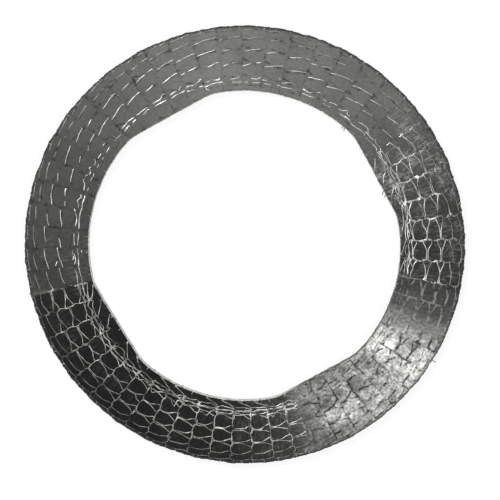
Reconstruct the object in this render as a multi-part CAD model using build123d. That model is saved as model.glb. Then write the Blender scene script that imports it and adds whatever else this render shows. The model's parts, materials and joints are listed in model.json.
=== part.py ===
from build123d import *
import os
from math import cos, radians, sin

# Flat exhaust-flange gasket: a ring of pressed flexible graphite with a knitted
# stainless-steel wire sleeve coined into both of its faces. Millimetres and degrees.
# The ring lies on its lower face; the origin is the middle of that face, +Z is up
# through the bore, and angles run anticlockwise from +X seen from above.

# Ring
outer_diameter = 108.0
bore_diameter = 76.2  # over the four arcs of the bore
flat_inset = 1.6  # how far the middle of each flat stands in from its arc
flat_turn = 29.5  # angle of the first flat's normal
flat_blend = 8.0  # radius where a flat runs into an arc
thickness = 2.0
edge_break = 0.15  # the die's corner on the outer edge

# Seat of the sleeve in each face
outer_rim = 0.4  # graphite squeezed out past the sleeve
inner_rim = 0.7
crown_height = 0.2  # what the die leaves of the wire crowns
seat_clearance = 0.05  # between the sleeve's edges and the rims

# Knitted sleeve
courses = 57  # rows of stitches round the ring
first_course = 7.16  # angle of the first course line before the stretch below
lean_angles = (3.95, 15.7)  # uneven pull on the sleeve: size and phase, once a turn
second_lean_angles = (0.79, 26.1)  # and twice a turn
line_shares = (0.155, 0.35, 0.58, 0.84)  # wale lines, as shares of the sleeve's width from outside
wire_width = 0.32  # a coined wire, seen from above
foot_share = 0.40  # a stitch's width at its foot, as a share of its wale
head_share = 0.84  # and at its head
throat_share = 0.25  # half width of the throat between two feet, share of the wale
throat_reach_share = 0.56  # how far the throat runs along its course
courses_to_seam = 29  # how many courses on from the first the mesh wall's lengths meet
span_count = 2  # lengths of mesh wall round the ring

os.makedirs("parts", exist_ok=True)

outer_radius = outer_diameter / 2
seat_outer = outer_radius - outer_rim
seat_inner = bore_diameter / 2 + inner_rim
sleeve_outer = seat_outer - seat_clearance
sleeve_inner = seat_inner + seat_clearance
wale_lines = [sleeve_outer - share * (sleeve_outer - sleeve_inner) for share in line_shares]


def course_angle(course):
    """Angle of a course line: even steps, leaned once and twice a turn by the uneven pull."""
    turn = 360 * course / courses
    once = lean_angles[0] * cos(radians(turn + lean_angles[1]))
    twice = second_lean_angles[0] * cos(radians(2 * turn + second_lean_angles[1]))
    return first_course + turn - once - twice


def on_ring(radius, course):
    """Point at a radius on a course line, which may lie between two whole courses."""
    angle = radians(course_angle(course))
    return (radius * cos(angle), radius * sin(angle), 0)


def opening(corners):
    """Closed outline through (radius, course) corners."""
    return Wire.make_polygon([on_ring(*corner) for corner in corners], close=True)


def stitch(course, outer_line, inner_line):
    """The opening inside one stitch: narrow at its foot, wide at its head one course clockwise."""
    middle = (outer_line + inner_line) / 2
    wale = outer_line - inner_line
    half_foot = wale * foot_share / 2
    half_head = wale * head_share / 2
    bar = wire_width / 2 / course_pitch(middle)
    foot = course + 1 - bar
    head = course + bar
    corners = [
        (middle - half_foot, foot),
        (middle + half_foot, foot),
        (middle + half_head, head),
        (middle - half_head, head),
    ]
    return opening(corners)


def throat(course, line, wale):
    """The small triangle where the feet of two neighbouring stitches part on a wale line.
    The mesh wall has the widest row of them, on its third line."""
    half = throat_share * wale
    foot = course + 1 - wire_width / 2 / course_pitch(line)
    apex = course + 1 - throat_reach_share
    return opening([(line - half, foot), (line + half, foot), (line, apex)])


def course_pitch(radius):
    """Mean length of one course along a circle of this radius."""
    return radians(360 / courses) * radius


def mesh_span(first, last):
    """One length of the coined mesh wall, from course line first to course line last."""
    start = course_angle(first)
    sweep = course_angle(last) - start
    outside = CenterArc((0, 0, 0), sleeve_outer, start, sweep)
    inside = CenterArc((0, 0, 0), sleeve_inner, start, sweep)
    outline = Wire([outside, Line(outside @ 1, inside @ 1), inside, Line(inside @ 0, outside @ 0)])
    openings = []
    for course in range(first, last):
        for outer_line, inner_line in zip(wale_lines, wale_lines[1:]):
            openings.append(stitch(course, outer_line, inner_line))
        openings.append(throat(course, wale_lines[2], wale_lines[2] - wale_lines[3]))
    return extrude(Face(outline, openings), crown_height, dir=(0, 0, 1))


def graphite_ring():
    """The pressed graphite: a flat ring, four flats in its bore, a shallow seat in each face."""
    flats_across = bore_diameter - 2 * flat_inset
    square = Rot(0, 0, flat_turn) * Rectangle(flats_across, flats_across)
    bore = Circle(bore_diameter / 2) & square
    bore = fillet(bore.vertices(), flat_blend)
    ring = extrude(Circle(outer_radius) - bore, thickness)
    outer_edges = ring.edges().filter_by(GeomType.CIRCLE).group_by(SortBy.RADIUS)[-1]
    ring = chamfer(outer_edges, edge_break)
    seat = extrude(Circle(seat_outer) - Circle(seat_inner), crown_height)
    return ring - seat - Pos(0, 0, thickness - crown_height) * seat


def wire_mesh():
    """The sleeve's two coined faces, built as spans of whole courses that meet end to end."""
    seams = [courses_to_seam + courses * span // span_count for span in range(span_count + 1)]
    spans = [mesh_span(first, last) for first, last in zip(seams, seams[1:])]
    upper = [Pos(0, 0, thickness - crown_height) * span for span in spans]
    return Compound(children=spans + upper)


export_step(graphite_ring(), "parts/graphite_ring.step")
export_step(wire_mesh(), "parts/wire_mesh.step")
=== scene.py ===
import json

import bpy
import numpy as np
from mathutils import Matrix, Vector


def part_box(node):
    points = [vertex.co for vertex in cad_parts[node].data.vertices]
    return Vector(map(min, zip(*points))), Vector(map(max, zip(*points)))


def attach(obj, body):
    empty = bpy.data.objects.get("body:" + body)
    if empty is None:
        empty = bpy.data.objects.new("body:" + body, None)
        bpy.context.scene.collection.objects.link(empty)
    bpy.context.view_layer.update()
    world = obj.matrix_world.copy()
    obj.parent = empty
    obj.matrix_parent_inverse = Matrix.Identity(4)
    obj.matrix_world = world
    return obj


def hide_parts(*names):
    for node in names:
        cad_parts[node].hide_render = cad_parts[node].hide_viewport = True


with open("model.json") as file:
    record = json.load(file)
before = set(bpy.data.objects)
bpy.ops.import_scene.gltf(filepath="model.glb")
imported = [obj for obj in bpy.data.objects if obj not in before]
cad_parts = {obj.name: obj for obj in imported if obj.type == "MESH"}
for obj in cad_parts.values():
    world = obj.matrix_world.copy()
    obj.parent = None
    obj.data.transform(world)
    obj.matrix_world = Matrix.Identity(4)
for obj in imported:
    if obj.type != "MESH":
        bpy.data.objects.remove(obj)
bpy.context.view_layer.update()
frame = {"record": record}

# The gasket as a whole: a flat ring squeezed out of foil and wire in one die, so
# that every piece below shares its two faces, its round edge and its bore with
# four flats. Lengths are metres, angles are degrees anticlockwise from +X.
ring_low, ring_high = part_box("graphite_ring")
outer_radius = round((ring_high[0] - ring_low[0]) / 2, 4)
lower_face = ring_low[2]
upper_face = ring_high[2]
mounts = {mount["name"]: mount for mount in frame["record"]["mounts"]}
bore_radius = mounts["pipe_bore"]["dims"]["r_mm"] / 1000
flat_distance = 0.0365  # from the axis to each flat of the bore
flat_turns = (28.4, 119.0, 211.6, 299.0)  # angles of the flats' normals, a little out of square
flat_blend = 0.00018  # how softly each flat runs into the arcs beside it
least_cosine = 0.7  # keeps a flat from counting where the bore has turned away from it


def bore_edge(angle):
    """Distance from the axis to the bore wall: the arc's radius or the flat's distance over the
    cosine of the turn from its normal, whichever is less, blended softly where they meet."""
    turns = [np.radians(angle - flat_turn) for flat_turn in flat_turns]
    flat = np.min([flat_distance / np.maximum(np.cos(turn), least_cosine) for turn in turns], axis=0)
    gap = bore_radius - flat
    return bore_radius - (gap + np.sqrt(gap**2 + 4 * flat_blend**2)) / 2


# The knitted sleeve's layout: 57 courses of stitches round the ring, in columns
# (wales) from the outer fold to the bore. The sleeve was pulled unevenly when it
# was laid, so its courses crowd on one side, and it lies a little off centre.
courses = 57
first_course = 7.16  # angle of the first course line before the pull
lean_once = (3.95, 15.7)  # uneven pull once a turn: degrees and phase
lean_twice = (0.79, 26.1)  # and twice a turn
# Radius of each wale line, outermost first; one more line follows the bore.
wale_lines = (0.0532, 0.05145, 0.04855, 0.0452, 0.0415, 0.0406, 0.0398)
line_drift = (0.1, 1.0, 1.0, 1.0, 0.9, 0.8, 0.6)  # share of the sleeve's offset each takes
sleeve_offset = 0.00045  # how far off centre the sleeve lies
offset_turn = 40.0  # and which way
rim = 0.0002  # graphite between the last wires and the bore


def on_plan(radius, angle):
    """X and Y at a radius and an angle: the radius times the angle's cosine and its sine."""
    turn = np.radians(angle)
    return radius * np.cos(turn), radius * np.sin(turn)


def course_angle(course):
    """Angle of a course line: even steps, leaned once and twice a turn by the uneven pull."""
    turn = 360 * course / courses
    once = lean_once[0] * np.cos(np.radians(turn + lean_once[1]))
    twice = lean_twice[0] * np.cos(np.radians(2 * turn + lean_twice[1]))
    return first_course + turn - once - twice


def line_radii(angle):
    """Radius of every wale line at each angle, outermost first, one row for each line: its mean
    radius less its share of the sleeve's offset times the cosine of the turn from the offset. The
    last line follows the bore."""
    offset = sleeve_offset * np.cos(np.radians(angle - offset_turn))
    lines = [radius - share * offset for radius, share in zip(wale_lines, line_drift)]
    lines.append(bore_edge(angle) + rim)
    return np.array(lines)


def radius_at(wale, angle):
    """Radius at a wale position, which is 0 on the outermost line and grows by 1 from line to
    line towards the bore; between two lines it runs straight from one to the other."""
    lines = line_radii(angle)
    below = np.clip(np.floor(wale).astype(int), 0, len(lines) - 2)
    column = np.arange(angle.size)
    start = lines[below, column]
    return start + (lines[below + 1, column] - start) * (wale - below)


def unevenness(x, y, step, seed, waves=9):
    """A smooth random surface between about -1 and 1: a sum of plane waves of about one length,
    step, in random directions and phases."""
    draw = np.random.default_rng(seed)
    heading = draw.uniform(0, np.pi, waves)
    pitch = 2 * np.pi / (step * draw.uniform(0.6, 1.8, waves))
    phase = draw.uniform(0, 2 * np.pi, waves)
    total = np.zeros(np.broadcast(x, y).shape)
    for turn, rate, start in zip(heading, pitch, phase):
        total += np.sin(rate * (x * np.cos(turn) + y * np.sin(turn)) + start)
    return total / np.sqrt(waves)


def rise(value, start, end):
    """Smooth step: 0 before start, 1 after end, three t squared less two t cubed between."""
    t = np.clip((value - start) / (end - start), 0, 1)
    return t * t * (3 - 2 * t)


# The stretches of the ring that look different. The foil's end lies over the
# sleeve on one stretch, rubbed bright in its middle, where a painted reflection
# of the lamp lies over the rubbed foil; from that stretch clockwise the wires lie
# bare in dark graphite, and past the cut end of the foil they are nearly buried
# in a smooth grey face, which ends in bare wires again.
foil_end = 193.3  # the foil's straight cut end
lap_end_inner = 351.3  # the lapped foil's slanting end, at the bore
lap_end_outer = 347.9  # and at the outer edge
lap_start = (286, 294)  # each pair: where a kind of face sets in, and where it is whole
bright_start = (284, 294)
bright_end = (333, 338.5)
smooth_start = (24, 48)
smooth_dulls = (168, 190)
rough_end = (22, 40)
# Between about 285 and 340 degrees these greys are partly a painted reflection of the lamp on the
# rubbed foil.
stretch_tones = (  # angle and the grey of the graphite there
    (0, 0.024), (10, 0.034), (20, 0.048), (30, 0.070), (45, 0.105), (70, 0.125), (100, 0.142),
    (115, 0.120), (135, 0.088), (150, 0.068), (170, 0.056), (185, 0.038), (193.2, 0.036),
    (193.4, 0.011), (215, 0.005), (240, 0.0045), (255, 0.007), (268, 0.012), (279, 0.022),
    (285, 0.040), (290, 0.12), (296, 0.25), (304, 0.30), (314, 0.31), (321, 0.41), (330, 0.36),
    (336, 0.17), (340, 0.060), (348, 0.036), (360, 0.024),
)
# These patches shape the bright stretch: the lighter ones are partly a painted reflection of the
# lamp, the darker ones dim it.
rubbed_and_reflection_patches = (  # angle, wale, their reach each way, and how much lighter or darker
    (325.3, 3.55, 3.2, 0.42, 0.9), (325.5, 0.7, 5.5, 1.2, 0.5), (325.5, 5.8, 5.0, 1.3, 0.5),
    (329.5, 2.0, 1.6, 0.6, -0.45), (300.5, 2.3, 5.5, 0.9, 0.5), (311.0, 1.6, 4.0, 0.8, 0.25),
    (309.3, 3.55, 2.9, 0.42, -0.55), (303.0, 3.5, 1.5, 0.4, -0.5), (297.5, 3.5, 3.0, 0.42, -0.5),
    (318.0, 3.5, 1.8, 0.5, -0.35), (296.0, 0.6, 5.0, 1.0, -0.35), (300.0, 6.6, 11.0, 0.5, -0.35),
    (316.0, 5.5, 3.0, 1.3, -0.15), (343.0, 3.5, 4.0, 0.5, 0.35), (289.0, 5.5, 4.0, 1.5, 0.5),
)


def lap_end(radius):
    """Angle of the lapped foil's slanting end at each radius, straight from bore to edge."""
    return np.interp(radius, (bore_radius, outer_radius), (lap_end_inner, lap_end_outer))


def stretches(angle, radius):
    """How far each place belongs to each kind of face, from 0 to 1: under the lapped foil, in the
    rubbed bright patch, which also carries a painted reflection of the lamp, in the smooth grey
    face, and in the rough light face past the lap's end."""
    angle = angle % 360
    lapped = rise(angle, *lap_start) * (angle < lap_end(radius))
    bright = rise(angle, *bright_start) * (1 - rise(angle, *bright_end))
    smooth = rise(angle, *smooth_start) * (angle < foil_end)
    smooth = smooth * (1 - 0.3 * rise(angle, *smooth_dulls))
    rough = 1 - rise(angle, *rough_end) + (angle >= lap_end(radius))
    return lapped, bright, smooth, rough


# The graphite body: sheets of flexible graphite foil pressed into one dense ring
# about 2 mm thick. Its faces are burnished where the die slid on them, swell a
# little inside each stitch of the sleeve and crease along its wires.
columns_per_course = 16
columns = courses * columns_per_course
face_depth = 0.00005  # the graphite's faces lie this far inside the wire crowns
lap_thickness = 0.00006
smooth_lift = 0.00003  # the smooth face covers more of the wires
swell = 0.00006
crease = 0.00005
dome_reach = 0.0006  # how far from a wire a stitch has swelled up
crease_reach = 0.00022
buckling = 0.00002
roughness = 0.000012
stitch_length = 0.0050  # of one course, along the ring
foot = 0.19  # half of a stitch's foot, as a share of its wale
leg_slant = 0.55  # how far a leg parts from the middle in one course
leg_limit = 0.46  # and where it runs along the wale line
bore_wall_mark = 7.2  # the walls and the lower face as places past the upper face's wales
lower_face_mark = 10
outer_wall_mark = -0.2
upper_rows = np.concatenate([
    np.linspace(first, last, count, endpoint=False)
    for first, last, count in (
        (0, 1, 5), (1, 2, 11), (2, 3, 13), (3, 4, 14), (4, 5, 4), (5, 6, 4), (6, 7, 9))
] + [[7.0]])
lower_rows = np.linspace(7, 0, 34)
wall_turns = np.radians(np.array([70, 45, 20, -20, -45, -70]))
edge_round = 0.00022
edge_gap = 0.00001  # a wall's first point stays this far under the face above it
wall_inset = 0.0001  # the outer wall lies this far inside the wires that cross it
wall_tone = 0.03
# The bore wall's grey is painted light, a painted reflection of the white surroundings, dimmer by
# the lap.
bore_painted_light = 0.42
bore_painted_light_lapped = 0.08


def sleeve_lines(course, wale):
    """Distance to the nearest wire of the sleeve, in metres, and the swell between the wires. A
    head is a line across its wale one course on; two legs part straight from a narrow foot, meet
    the wale lines by the middle of the course and run along them."""
    along = np.ceil(course) - course
    across = np.abs(wale % 1 - 0.5)
    leg = np.minimum(foot + leg_slant * along, leg_limit)
    widths = -np.diff(np.append(wale_lines, bore_radius))
    width = widths[np.clip(wale.astype(int), 0, len(widths) - 1)]
    to_leg = np.abs(across - leg) * width
    to_head = np.minimum(along, 1 - along) * stitch_length
    near = np.minimum(to_leg, to_head)
    dome = 1 - np.exp(-((near / dome_reach) ** 2))
    return near, dome


def upper_height(course, wale, angle, radius):
    """Height of the upper graphite face: its level, plus the foil's laps, plus a low dome inside
    each stitch less a crease along each wire, plus gentle buckling and grain."""
    x, y = on_plan(radius, angle)
    lapped, bright, smooth = stretches(angle, radius)[:3]
    near, dome = sleeve_lines(course, wale)
    bare = 1 - np.clip(lapped + smooth, 0, 1)
    creased = np.exp(-((near / crease_reach) ** 2))
    height = upper_face - face_depth + lap_thickness * lapped + smooth_lift * smooth
    height = height + swell * (dome - 0.5) * (0.5 * bare + 0.5 * lapped + 0.15 * smooth)
    height = height - crease * creased * (0.6 * bare + 0.8 * lapped)
    height = height + buckling * unevenness(x, y, 0.006, 11) * (0.5 + bright)
    return height + roughness * unevenness(x, y, 0.0012, 12) * (0.3 + 1.4 * bright + 0.6 * bare)


def ring_body():
    """The closed skin of the ring as a grid of course position by place on the section: the upper
    face from the outer edge to the bore, the bore wall, the lower face and the outer wall, each
    wall rounded by the sine and cosine of its turn. The walls' edges are a little ragged."""
    course = np.arange(columns) / columns_per_course
    angle = course_angle(course)
    sections = []
    for wale in upper_rows:
        radius = radius_at(np.full(columns, wale), angle)
        height = upper_height(course, np.full(columns, wale), angle, radius)
        sections.append((radius, height, wale))
    upper_outer = sections[0][1]
    upper_inner = sections[-1][1]
    ragged = 0.00009 * unevenness(angle, 0 * angle, 5.0, 21)
    ragged = ragged + 0.00007 * unevenness(angle, 0 * angle, 1.3, 22)
    middle = (upper_face + lower_face) / 2
    half = (upper_face - lower_face) / 2 - edge_round
    inner_wall = bore_edge(angle) + 0.4 * ragged
    for turn in wall_turns:
        height = middle + np.sign(turn) * half + edge_round * np.sin(turn)
        height = np.minimum(height, upper_inner - edge_gap)
        radius = inner_wall + edge_round * (1 - np.cos(turn))
        sections.append((radius, height, bore_wall_mark))
    lower_level = lower_face + face_depth
    for wale in lower_rows:
        radius = radius_at(np.full(columns, wale), angle)
        near, dome = sleeve_lines(course, np.full(columns, wale))
        creased = np.exp(-((near / 0.00025) ** 2))
        height = lower_level - 0.5 * swell * (dome - 0.5) + 0.5 * crease * creased
        sections.append((radius, height, lower_face_mark + wale))
    outer_wall = outer_radius + ragged - wall_inset
    for turn in wall_turns[::-1]:
        height = middle + np.sign(turn) * half + edge_round * np.sin(turn)
        height = np.minimum(height, upper_outer - edge_gap)
        radius = outer_wall - edge_round * (1 - np.cos(turn))
        sections.append((radius, height, outer_wall_mark))
    radius = np.array([section[0] for section in sections])
    height = np.array([section[1] for section in sections])
    wale = np.array([np.full(columns, section[2]) for section in sections])
    return course, angle, radius, height, wale


def face_tones(angle, radius, wale):
    """Grey of the graphite at each place: the stretch's grey, lightened or darkened by each
    rubbed patch, which is a bell in angle and wale, with a light line along the foil's cut end. In
    the bright stretch this grey and its patches are partly a painted reflection of the lamp. The
    bore's cut wall is painted light, a painted reflection of the white surroundings, with less of it
    by the lap; the outer wall and lower face are dark."""
    keys = np.array(stretch_tones)
    turn = angle % 360
    tone = np.interp(turn, keys[:, 0], keys[:, 1])
    tone = np.where(turn > lap_end(radius), keys[0, 1], tone)
    for middle, line, reach, spread, strength in rubbed_and_reflection_patches:
        bell = np.exp(-np.abs((turn - middle) / reach) ** 3 - np.abs((wale - line) / spread) ** 3)
        tone = tone * (1 + strength * bell)
    cut = np.exp(-((turn - foil_end) / 0.3) ** 2) * rise(radius, 0.0445, 0.0485)
    tone = tone + 0.07 * cut
    # The bore wall gets painted light, a painted reflection of the white surroundings, with less of
    # it by the lap.
    by_lap = rise(turn, *bright_start) * (1 - rise(turn, 340, 350))
    bore_wall = bore_painted_light + (bore_painted_light_lapped - bore_painted_light) * by_lap
    tone = np.where(wale == bore_wall_mark, bore_wall, tone)
    return np.where((wale < 0) | (wale >= lower_face_mark), wall_tone, tone)


def grid_faces(rows, across):
    """Corner numbers of the quads of a grid that closes on itself both ways."""
    row = np.arange(rows)[:, None]
    column = np.arange(across)[None, :]
    next_row = (row + 1) % rows
    next_column = (column + 1) % across
    corners = [row * across + column, row * across + next_column]
    corners += [next_row * across + next_column, next_row * across + column]
    return np.stack([corner.ravel() for corner in np.broadcast_arrays(*corners)], axis=1)


def add_mesh(name, points, faces):
    """A mesh object at the origin from point and face arrays, shaded smooth."""
    mesh = bpy.data.meshes.new(name)
    mesh.from_pydata(points.tolist(), [], faces.tolist())
    mesh.polygons.foreach_set("use_smooth", np.ones(len(faces), dtype=bool))
    mesh.update()
    piece = bpy.data.objects.new(name, mesh)
    bpy.context.scene.collection.objects.link(piece)
    return piece


def add_attribute(piece, name, values):
    """One number for each point of the piece, for its material to read."""
    layer = piece.data.attributes.new(name, "FLOAT", "POINT")
    layer.data.foreach_set("value", values.astype(np.float32).ravel())


def add_layout(piece, name, first, second):
    """A UV map of two numbers for each point, given corner by corner."""
    layer = piece.data.uv_layers.new(name=name)
    corner = np.zeros(len(piece.data.loops), dtype=int)
    piece.data.loops.foreach_get("vertex_index", corner)
    pairs = np.stack([first.ravel()[corner], second.ravel()[corner]], axis=1)
    layer.data.foreach_set("uv", pairs.astype(np.float32).ravel())


def new_material(name):
    """An empty node material: returns the material, its node tree and its shader."""
    material = bpy.data.materials.new(name)
    material.use_nodes = True
    return material, material.node_tree, material.node_tree.nodes["Principled BSDF"]


def attribute_of(tree, name):
    """The output that gives one of a piece's own numbers."""
    node = tree.nodes.new("ShaderNodeAttribute")
    node.attribute_name = name
    return node.outputs["Fac"]


def feed(tree, sockets, values):
    """Each value into its socket: a plain number is set on it and an output is linked to it."""
    for socket, value in zip(sockets, values):
        if isinstance(value, (int, float)):
            socket.default_value = value
        else:
            tree.links.new(value, socket)


def calculate(tree, operation, *values):
    """A math node on the given outputs or plain numbers."""
    node = tree.nodes.new("ShaderNodeMath")
    node.operation = operation
    feed(tree, node.inputs, values)
    return node.outputs[0]


def product(tree, first, *factors):
    """The product of the given outputs or plain numbers."""
    for factor in factors:
        first = calculate(tree, "MULTIPLY", first, factor)
    return first


def less_than_whole(tree, value):
    """One less the value."""
    return calculate(tree, "SUBTRACT", 1.0, value)


def grain(tree, where, scale, detail=4.0, contrast=0.55):
    """A noise texture over the given coordinates, from about 0 to 1."""
    node = tree.nodes.new("ShaderNodeTexNoise")
    node.inputs["Scale"].default_value = scale
    node.inputs["Detail"].default_value = detail
    node.inputs["Roughness"].default_value = contrast
    tree.links.new(where, node.inputs["Vector"])
    return node.outputs["Fac"]


def stretched(tree, where, scales):
    """Coordinates multiplied by a scale along each axis."""
    node = tree.nodes.new("ShaderNodeMapping")
    node.inputs["Scale"].default_value = scales
    tree.links.new(where, node.inputs["Vector"])
    return node.outputs[0]


def between(tree, value, start, end, low, high):
    """The value carried from the range start to end onto low to high, and held at its ends."""
    node = tree.nodes.new("ShaderNodeMapRange")
    feed(tree, list(node.inputs)[:5], (value, start, end, low, high))
    return node.outputs[0]


def part_way(tree, share, whole):
    """One, carried towards the whole by a share: 1 + share x (whole - 1)."""
    step = calculate(tree, "SUBTRACT", whole, 1.0)
    return calculate(tree, "ADD", 1.0, product(tree, share, step))


def warm_grey(tree, value, shader):
    """The value as a slightly warm grey base colour."""
    colour = tree.nodes.new("ShaderNodeCombineColor")
    tints = (1.0, 0.995, 0.955)
    feed(tree, colour.inputs, [product(tree, value, tint) for tint in tints])
    tree.links.new(colour.outputs[0], shader.inputs["Base Color"])


def knit_lines(tree, layout, place):
    """How near each place is to a course line and to a stitch's leg, from 0 to 1: the sleeve's
    layout, shaken a little, folded into one stitch and measured in millimetres as sleeve_lines
    does, with one width for every wale."""
    wale_width = 3.4
    shake = tree.nodes.new("ShaderNodeTexNoise")
    shake.inputs["Scale"].default_value = 420.0
    shake.inputs["Detail"].default_value = 3.0
    tree.links.new(place, shake.inputs["Vector"])
    centred = tree.nodes.new("ShaderNodeVectorMath")
    centred.operation = "MULTIPLY_ADD"
    tree.links.new(shake.outputs["Color"], centred.inputs[0])
    centred.inputs[1].default_value = (0.32, 0.30, 0.0)
    tree.links.new(layout, centred.inputs[2])
    parts = tree.nodes.new("ShaderNodeSeparateXYZ")
    tree.links.new(centred.outputs[0], parts.inputs[0])
    course = calculate(tree, "SUBTRACT", parts.outputs[0], 0.16)
    wale = calculate(tree, "SUBTRACT", parts.outputs[1], 0.15)
    along = calculate(tree, "FRACT", product(tree, course, -1.0))
    from_middle = calculate(tree, "SUBTRACT", calculate(tree, "FRACT", wale), 0.5)
    across = calculate(tree, "ABSOLUTE", from_middle)
    leg = calculate(tree, "MULTIPLY_ADD", along, leg_slant, foot)
    leg = calculate(tree, "MINIMUM", leg, leg_limit)
    off_leg = calculate(tree, "ABSOLUTE", calculate(tree, "SUBTRACT", across, leg))
    off_head = calculate(tree, "MINIMUM", along, less_than_whole(tree, along))
    to_leg = product(tree, off_leg, wale_width)
    to_head = product(tree, off_head, 1000 * stitch_length)
    head_line = between(tree, to_head, 0.06, 0.40, 1.0, 0.0)
    leg_line = between(tree, to_leg, 0.08, 0.34, 1.0, 0.0)
    return head_line, leg_line


def graphite_material():
    """Pressed graphite foil: grey by how the die rubbed it, with a painted reflection of the lamp
    on the bright patch, mottled, streaked across the bare stretch, cracked dark along the
    sleeve's wires in the bright patch with painted shade in the creases, and pitted along its
    courses in the smooth one with painted shade in the pits, with a painted highlight on the
    wires faintly embossed under the rest of the lap."""
    material, tree, shader = new_material("graphite_foil")
    place = tree.nodes.new("ShaderNodeTexCoord").outputs["Object"]
    layout_map = tree.nodes.new("ShaderNodeUVMap")
    layout_map.uv_map = "sleeve"
    layout = layout_map.outputs[0]
    bright, smooth = attribute_of(tree, "bright"), attribute_of(tree, "smooth")
    lapped, bare = attribute_of(tree, "lapped"), attribute_of(tree, "bare")
    fine = grain(tree, place, 1500.0, 4.0, 0.7)
    middling = grain(tree, place, 560.0, 5.0, 0.68)
    broad = grain(tree, place, 150.0, 4.0, 0.6)
    broken = between(tree, grain(tree, place, 700.0, 3.0, 0.7), 0.40, 0.56, 0.0, 1.0)
    # Clouds and specks lie on every face, and coarser specks wherever it isn't smooth.
    clouds = between(tree, broad, 0.3, 0.7, 0.85, 1.15)
    specks = between(tree, fine, 0.25, 0.75, 0.72, 1.28)
    coarse_specks = between(tree, fine, 0.3, 0.7, 0.6, 1.45)
    coarser = part_way(tree, less_than_whole(tree, smooth), coarse_specks)
    value = product(tree, attribute_of(tree, "tone"), clouds, specks, coarser)
    # The bright patch, with its painted lamp reflection, is mottled, and light streaks cross the
    # bare stretch in places.
    mottle = between(tree, middling, 0.30, 0.70, 0.22, 1.65)
    mottled = part_way(tree, product(tree, bright, 0.85), mottle)
    streak = grain(tree, stretched(tree, layout, (10.0, 1.4, 1.0)), 1.0, 4.0, 0.6)
    streaks = between(tree, streak, 0.44, 0.72, 0.80, 5.5)
    where_streaked = between(tree, grain(tree, place, 240.0, 2.0), 0.42, 0.62, 0.0, 1.0)
    streaked = part_way(tree, product(tree, bare, where_streaked), streaks)
    value = product(tree, value, mottled, streaked)
    # Dark cracks with painted shade in the creases follow the knit in the bright patch, and dark
    # pits with painted shade in them do in the smooth face.
    seam = calculate(tree, "MAXIMUM", *knit_lines(tree, layout, place))
    crack_and_crease_shade = product(tree, seam, broken, bright)
    pits = between(tree, grain(tree, place, 620.0, 4.0, 0.75), 0.50, 0.62, 0.12, 1.0)
    pit_shade = product(tree, seam, pits, smooth)
    # Both darkenings are painted shade along the wires' creases and in the pits.
    crease_shaded = between(tree, crack_and_crease_shade, 0.0, 1.0, 1.0, 0.10)
    pit_shaded = between(tree, pit_shade, 0.0, 1.0, 1.0, 0.22)
    value = product(tree, value, crease_shaded, pit_shaded)
    # The wires show through the rest of the lap as faint ridges, with a painted highlight along
    # them.
    dull = product(tree, lapped, less_than_whole(tree, bright))
    ridge_highlight = product(tree, calculate(tree, "POWER", seam, 2.5), broken)
    value = calculate(tree, "MULTIPLY_ADD", product(tree, ridge_highlight, dull), 0.15, value)
    warm_grey(tree, value, shader)
    feed(tree, [shader.inputs["Metallic"]], [between(tree, bright, 0.0, 1.0, 0.1, 0.7)])
    feed(tree, [shader.inputs["Roughness"]], [between(tree, smooth, 0.0, 1.0, 0.6, 0.5)])
    shader.inputs["Specular IOR Level"].default_value = 0.12
    bump = tree.nodes.new("ShaderNodeBump")
    bump.inputs["Strength"].default_value = 0.35
    bump.inputs["Distance"].default_value = 0.00005
    tree.links.new(fine, bump.inputs["Height"])
    tree.links.new(bump.outputs["Normal"], shader.inputs["Normal"])
    return material


course, angle, radius, height, wale = ring_body()
whole_angle = np.broadcast_to(angle, radius.shape)
body_points = np.stack([*on_plan(radius, angle), height], axis=2).reshape(-1, 3)
graphite = add_mesh("graphite_body", body_points, grid_faces(len(radius), columns))
lapped, bright, smooth = stretches(whole_angle, radius)[:3]
face_up = (wale >= 0) & (wale <= 7)
bare = 1 - np.clip(lapped + smooth, 0, 1)
add_attribute(graphite, "tone", face_tones(whole_angle, radius, wale))
add_attribute(graphite, "bright", bright * face_up)
add_attribute(graphite, "smooth", smooth * face_up)
add_attribute(graphite, "lapped", lapped * face_up)
add_attribute(graphite, "bare", bare * face_up)
add_layout(graphite, "sleeve", np.broadcast_to(course, radius.shape), wale)
graphite.data.materials.append(graphite_material())
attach(graphite, "root")
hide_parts("graphite_ring")


# The knitted sleeve: one stainless-steel wire about a quarter millimetre thick, knitted into a
# tube and flattened. Each course is one run of wire that meanders from the bore
# to the outer fold: a narrow foot, two legs and a head for each stitch.
wire_radius = 0.00012
wire_sides = 6
bare_stitch = (  # share of a course clockwise, of a wale outwards, height, how far it stands out
    (0.00, -0.50, -0.3, 0.1), (0.00, -0.33, -0.5, 0.1), (0.03, -0.19, -0.4, 0.2),
    (0.26, -0.32, 0.0, 0.3), (0.48, -0.44, 0.2, 0.35), (0.75, -0.46, 0.2, 0.3),
    (0.96, -0.45, 0.2, 0.2), (1.02, -0.34, 0.4, 0.1), (1.045, -0.17, 0.5, 0.0),
    (1.05, 0.00, 0.5, 0.0), (1.045, 0.17, 0.5, 0.0), (1.02, 0.34, 0.4, 0.2),
    (0.96, 0.45, 0.3, 0.8), (0.75, 0.46, 0.4, 1.0), (0.48, 0.44, 0.4, 1.0),
    (0.26, 0.32, 0.2, 1.0), (0.03, 0.19, -0.4, 0.9), (0.00, 0.33, -0.5, 0.1),
)
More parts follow.
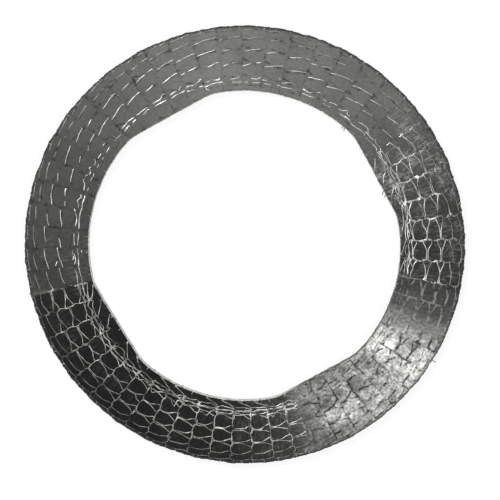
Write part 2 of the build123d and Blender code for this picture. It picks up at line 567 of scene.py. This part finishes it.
# Knots of the outer leg and how far outwards each lies once the leg is pulled straight.
pulled_leg = ((11, 0.50), (12, 0.62), (13, 0.57), (14, 0.49), (15, 0.41), (16, 0.33))
bore_hook = (  # the same four numbers, from the wall of the bore to the first wale line
    (0.30, -0.56, -1.2, 0.2), (0.55, -0.50, -0.2, 0.5), (0.80, -0.42, 0.0, 0.5),
    (0.60, -0.20, 0.1, 0.3), (0.35, 0.05, 0.1, 0.3), (0.12, 0.33, 0.0, 0.3),
)
crown_height = 0.00006  # the die cuts the crowns off this far past the face
wire_rise = 0.35  # height of one unit of a knot's height, in wire radii
wire_bed = 0.15  # how deep the middle of a wire lies in the face, in wire radii
lap_cover = 3.2  # and how much deeper under the lapped foil
middle_radius = 0.046
shine_keys = (  # angle and how clean the wire is there
    (0, 0.44), (25, 0.46), (45, 0.50), (165, 0.50), (185, 0.46), (196, 0.34), (230, 0.32),
    (262, 0.36), (275, 0.42), (290, 0.40), (345, 0.45), (350, 0.46), (360, 0.44),
)
row_shine = (0.36, 0.6, 1.0, 1.0, 1.1, 1.0, 0.75)  # how clean each wale's wires are


def smooth_path(knots, steps):
    """A Catmull-Rom curve through rows of knots, steps points to a knot: each point is the cubic
    of its four nearest knots that passes through the middle two."""
    before = np.concatenate([2 * knots[:1] - knots[1:2], knots[:-1]])
    after = np.concatenate([knots[1:], 2 * knots[-1:] - knots[-2:-1]])
    beyond = np.concatenate([after[1:], after[-1:]])
    t = (np.arange(steps) / steps)[None, :, None]
    a, b, c, d = (rows[:-1][:, None, :] for rows in (before, knots, after, beyond))
    curve = b + 0.5 * t * (c - a + t * (2 * a - 5 * b + 4 * c - d + t * (3 * (b - c) + d - a)))
    return np.concatenate([curve.reshape(-1, knots.shape[1]), knots[-1:]])


def course_run(draw, buried):
    """Knots of one course from the bore to the outer fold: the hook at the bore, then the stitch
    for every wale, its outer leg pulled straight where the sleeve is buried, with a little of the
    knitter's unevenness in every knot, and more in the narrow wales."""
    wales = len(wale_lines)
    hook = np.array(bore_hook)
    hook[:, 1] = wales - 0.5 - hook[:, 1]
    hook[:, 2] -= 5.0 * (draw.random() < 0.35)
    knots, shake = [hook], [np.full(len(hook), 1.0)]
    for number in range(wales - 1, 0, -1):
        one = np.array(bare_stitch)
        for knot, outwards in pulled_leg:
            one[knot, 1] += buried * (outwards - one[knot, 1])
        if number == 1:
            one[2:7, 2] = -4.0  # next to the fold the inner legs lie deep
        one[:, 1] = number - 0.5 - one[:, 1]
        knots.append(one)
        shake.append(np.full(len(one), 6.5 if number >= 5 else 1.0))
    knots = np.concatenate(knots + [[[0.0, 0.0, -0.4, 0.1]]])
    shake = np.append(np.concatenate(shake), 1.0)
    knots[:, 0] += draw.normal(0, 0.020, len(knots)) * np.minimum(shake, 3)
    knots[:, 1] += draw.normal(0, 0.026, len(knots)) * shake * (1 - 0.3 * buried)
    return knots


def tube(path, radius_along, sides):
    """Points of a round tube along a path: at each point a ring of sides corners in the plane
    square to the path, kept upright by the vertical."""
    ahead = np.gradient(path, axis=0)
    ahead /= np.linalg.norm(ahead, axis=1, keepdims=True)
    side = np.cross(ahead, (0, 0, 1.0))
    side /= np.linalg.norm(side, axis=1, keepdims=True) + 1e-12
    up = np.cross(side, ahead)
    turn = 2 * np.pi * np.arange(sides) / sides
    cosine, sine = np.cos(turn)[None, :, None], np.sin(turn)[None, :, None]
    rings = side[:, None, :] * cosine + up[:, None, :] * sine
    return path[:, None, :] + rings * radius_along[:, None, None]


def tube_faces(length, sides, start):
    """Corner numbers of a tube's quads, from the point numbered start."""
    ring = np.arange(length - 1)[:, None] * sides
    corner = np.arange(sides)[None, :]
    after = (corner + 1) % sides
    quads = [ring + corner, ring + sides + corner, ring + sides + after, ring + after]
    return start + np.stack([quad.ravel() for quad in quads], axis=1)


def near_course_line(share, reach):
    """A bell round each course line: one over e to the square of the distance over the reach,
    with both in shares of a course."""
    apart = np.minimum(share % 1, 1 - share % 1)
    return np.exp(-((apart / reach) ** 2))


def wire_shine(turn, wale, level, spot, fleck):
    """How clean the wire is at each place: the stretch's own shine times its row's, less along the
    course lines, times a slow and a quick unevenness, held between nearly black and bright."""
    keys = np.array(shine_keys)
    base = np.interp(turn % 360, keys[:, 0], keys[:, 1])
    row = np.interp(wale, np.arange(len(row_shine)) + 0.5, row_shine)
    return np.clip(base * row * (1 - 0.2 * level) * (1 + 0.40 * spot + 0.30 * fleck), 0.04, 0.95)


def sleeve_face(face, outward, steps, seed):
    """All courses of one face of the sleeve: each run's course and wale positions become angle and
    radius, its height is set by how deep the face has taken the wire, and a tube follows it. The
    die's flat cuts every crown off at the face."""
    draw = np.random.default_rng(seed)
    crown = face + outward * crown_height
    points, faces, shine = [], [], []
    count = 0
    for number in range(courses):
        smooth = stretches(course_angle(number + 0.5), middle_radius)[2]
        run = smooth_path(course_run(draw, smooth if outward > 0 else 0.0), steps)
        position = number + 1 - run[:, 0]
        turn = course_angle(position)
        radius = radius_at(run[:, 1], turn)
        x, y = on_plan(radius, turn)
        spot = unevenness(x, y, 0.0032, seed + 7)
        fleck = unevenness(x, y, 0.0010, seed + 8)
        ground, sunk, clump = face - outward * face_depth, 0 * turn, 0 * turn
        if outward > 0:
            lapped, bright, smooth, rough = stretches(turn, radius)
            ground = upper_height(position, run[:, 1], turn, radius)
            buried = 1.6 * (1 - run[:, 3]) + 0.58 - 0.50 * spot - 0.15 * fleck
            sunk = lap_cover * lapped + smooth * buried
            clump = rough * near_course_line(run[:, 0], 0.10)
        level = near_course_line(run[:, 0], 0.08)
        swollen = 0.75 * clump * (1 + 0.5 * spot)
        thick = wire_radius * (1 + 0.10 * draw.normal() - 0.22 * level + swollen)
        lift = run[:, 2] * wire_rise - wire_bed - sunk + 0.3 * clump
        height = ground + outward * wire_radius * lift
        rings = tube(np.stack([x, y, height], axis=1), thick, wire_sides)
        cut_off = np.minimum if outward > 0 else np.maximum
        rings[:, :, 2] = cut_off(rings[:, :, 2], crown)
        points.append(rings.reshape(-1, 3))
        faces.append(tube_faces(len(turn), wire_sides, count))
        shine.append(np.repeat(wire_shine(turn, run[:, 1], level, spot, fleck), wire_sides))
        count += len(turn) * wire_sides
    return np.concatenate(points), np.concatenate(faces), np.concatenate(shine)


def wire_material():
    """Drawn stainless wire with graphite rubbed into it: warm grey metal, darker in patches."""
    material, tree, shader = new_material("stainless_wire")
    place = tree.nodes.new("ShaderNodeTexCoord").outputs["Object"]
    patch = grain(tree, place, 900.0, 4.0, 0.65)
    smear = between(tree, patch, 0.3, 0.7, 0.55, 1.25)
    warm_grey(tree, product(tree, attribute_of(tree, "shine"), smear), shader)
    shader.inputs["Metallic"].default_value = 1.0
    feed(tree, [shader.inputs["Roughness"]], [between(tree, patch, 0.3, 0.7, 0.5, 0.34)])
    return material


steel = wire_material()
for name, face, outward, steps, seed in (  # steps: points of the wire to a knot
    ("sleeve_upper_face", upper_face, 1, 2, 5),
    ("sleeve_lower_face", lower_face, -1, 1, 6),
):
    points, faces, shine = sleeve_face(face, outward, steps, seed)
    sleeve = add_mesh(name, points, faces)
    add_attribute(sleeve, "shine", shine)
    sleeve.data.materials.append(steel)
    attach(sleeve, "root")
    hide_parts("wire_mesh")


# Where the sleeve folds over the outer edge and into the bore its wires cross the
# walls, pressed into the graphite. A few have broken, and their ends stand out.
outer_fold_start = 0.0531  # where a strand leaves the faces for the outer wall
outer_fold_depth = 0.00013  # its middle lies this far inside the outer wall
bore_fold_start = 0.0008  # and the same two from the bore
bore_fold_depth = 0.00007
fold_power = 0.35  # a low power makes the strand's profile square-shouldered
strand_places = (0.1, 0.55, 0.3)  # share of a course at which each strand crosses
strand_tone = 0.22
broken_tone = 0.03
broken_ends = (  # angle, radius it starts at, lean from straight out, length
    (329.0, 0.0538, 4.0, 0.0011), (193.0, 0.0538, 9.0, 0.0005), (152.0, 0.0538, -20.0, 0.0005),
    (207.5, 0.0538, 60.0, 0.0006), (22.4, 0.0368, 232.0, 0.0012), (20.5, 0.0370, 215.0, 0.0008),
    (18.0, 0.0376, 200.0, 0.0006), (50.2, 0.0381, 214.0, 0.0008), (51.0, 0.0381, 200.0, 0.0006),
)


def fold_wires(draw):
    """Two strands a course over the outer wall and one over the bore's: each runs from face to
    face on a rounded profile, a low power of the sine across and of the cosine up, and slants a
    little on its way. The broken ends are short straight runs out from the edge."""
    t = np.linspace(0, 1, 9)
    out = np.sin(np.pi * t) ** fold_power
    down = np.sign(np.cos(np.pi * t)) * np.abs(np.cos(np.pi * t)) ** fold_power
    middle = (upper_face + lower_face) / 2
    height = middle + ((upper_face - lower_face) / 2 - crown_height) * down
    runs = []
    for strand in range(3 * courses):
        number, kind = divmod(strand, 3)
        slant = draw.normal(0, 0.22)
        place = number + strand_places[kind] + draw.normal(0, 0.06)
        turn = course_angle(place + slant * (t - 0.5))
        radius = outer_fold_start + (outer_radius - outer_fold_depth - outer_fold_start) * out
        if kind == 2:
            radius = bore_edge(turn) + bore_fold_start - (bore_fold_start - bore_fold_depth) * out
        runs.append(np.stack([*on_plan(radius, turn), height], axis=1))
    for turn, start, lean, length in broken_ends:
        along = np.linspace(-0.0005, length, 4)
        start_x, start_y = on_plan(start, turn)
        along_x, along_y = on_plan(along, turn + lean)
        level = np.full(4, upper_face - 0.0003)
        runs.append(np.stack([start_x + along_x, start_y + along_y, level], axis=1))
    points, faces, shine, count = [], [], [], 0
    for number, run in enumerate(runs):
        rings = tube(run, np.full(len(run), 0.8 * wire_radius), wire_sides)
        points.append(rings.reshape(-1, 3))
        faces.append(tube_faces(len(run), wire_sides, count))
        tone = strand_tone if number < 3 * courses else broken_tone
        shine.append(np.full(len(run) * wire_sides, tone))
        count += len(run) * wire_sides
    return np.concatenate(points), np.concatenate(faces), np.concatenate(shine)


fold_points, fold_faces, fold_shine = fold_wires(np.random.default_rng(31))
folds = add_mesh("sleeve_folds", fold_points, fold_faces)
add_attribute(folds, "shine", fold_shine)
folds.data.materials.append(steel)
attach(folds, "root")
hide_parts("wire_mesh")


# The place it is shown in: a white table and plain soft light. The camera hangs
# over the ring, a few degrees off the vertical towards the top of the view.
def white_floor():
    """A large white plane that shows as white and still takes the ring's soft shadow."""
    reach = 1.5
    level = lower_face - 0.0001  # just under the lower wires' crowns
    glow_share = 0.87
    corners = [(-reach, -reach), (reach, -reach), (reach, reach), (-reach, reach)]
    points = np.array([(*corner, level) for corner in corners])
    floor = add_mesh("floor", points, np.array([(0, 1, 2, 3)]))
    material, tree, shader = new_material("white_floor")
    shader.inputs["Base Color"].default_value = (0.9, 0.9, 0.9, 1)
    shader.inputs["Roughness"].default_value = 0.9
    glow = tree.nodes.new("ShaderNodeEmission")
    rays = tree.nodes.new("ShaderNodeLightPath")
    seen = calculate(tree, "MAXIMUM", rays.outputs["Is Camera Ray"], rays.outputs["Is Glossy Ray"])
    seen = calculate(tree, "MAXIMUM", seen, rays.outputs["Is Transmission Ray"])
    mix = tree.nodes.new("ShaderNodeMixShader")
    share = product(tree, seen, glow_share)
    feed(tree, mix.inputs, (share, shader.outputs[0], glow.outputs[0]))
    tree.links.new(mix.outputs[0], tree.nodes["Material Output"].inputs["Surface"])
    floor.data.materials.append(material)


def white_world():
    """White wherever the camera or a shiny surface sees it, and a plain level of light for
    everything else."""
    light_level = 0.55
    world = bpy.data.worlds.new("studio")
    bpy.context.scene.world = world
    world.use_nodes = True
    tree = world.node_tree
    rays = tree.nodes.new("ShaderNodeLightPath")
    seen = calculate(tree, "MAXIMUM", rays.outputs["Is Camera Ray"], rays.outputs["Is Glossy Ray"])
    seen = calculate(tree, "MAXIMUM", seen, rays.outputs["Is Transmission Ray"])
    background = tree.nodes["Background"]
    feed(tree, [background.inputs["Strength"]], [between(tree, seen, 0.0, 1.0, light_level, 1.0)])
    background.inputs["Color"].default_value = (1, 1, 1, 1)


def soft_lamp(name, place, size, power):
    """A square area lamp that faces the ring."""
    data = bpy.data.lights.new(name, "AREA")
    data.size = size
    data.energy = power
    lamp = bpy.data.objects.new(name, data)
    lamp.location = place
    lamp.rotation_euler = Vector(place).to_track_quat("Z", "Y").to_euler()
    bpy.context.scene.collection.objects.link(lamp)


def hang_camera():
    """The camera looks from a point a small tilt off the vertical, with +Y up in its view."""
    distance, tilt, heading = 0.75, np.radians(8.2), np.radians(66)
    target = Vector((0.0015, -0.0008, upper_face))
    away = Vector((np.sin(tilt) * np.cos(heading), np.sin(tilt) * np.sin(heading), np.cos(tilt)))
    right = (-away).cross(Vector((0, 1, 0))).normalized()
    up = right.cross(-away)
    data = bpy.data.cameras.new("camera")
    view_width = 0.1222
    data.sensor_width = 36.0
    data.lens = data.sensor_width * distance / view_width
    camera = bpy.data.objects.new("camera", data)
    place = target + distance * away
    turn = Matrix((right, up, away)).transposed().to_4x4()
    camera.matrix_world = Matrix.Translation(place) @ turn
    bpy.context.scene.collection.objects.link(camera)
    bpy.context.scene.camera = camera


white_floor()
white_world()
soft_lamp("window", (-0.35, 0.45, 0.6), 0.35, 5.0)
soft_lamp("fill", (0.5, -0.2, 0.5), 0.4, 2.0)
hang_camera()
bpy.context.scene.view_settings.view_transform = "Standard"
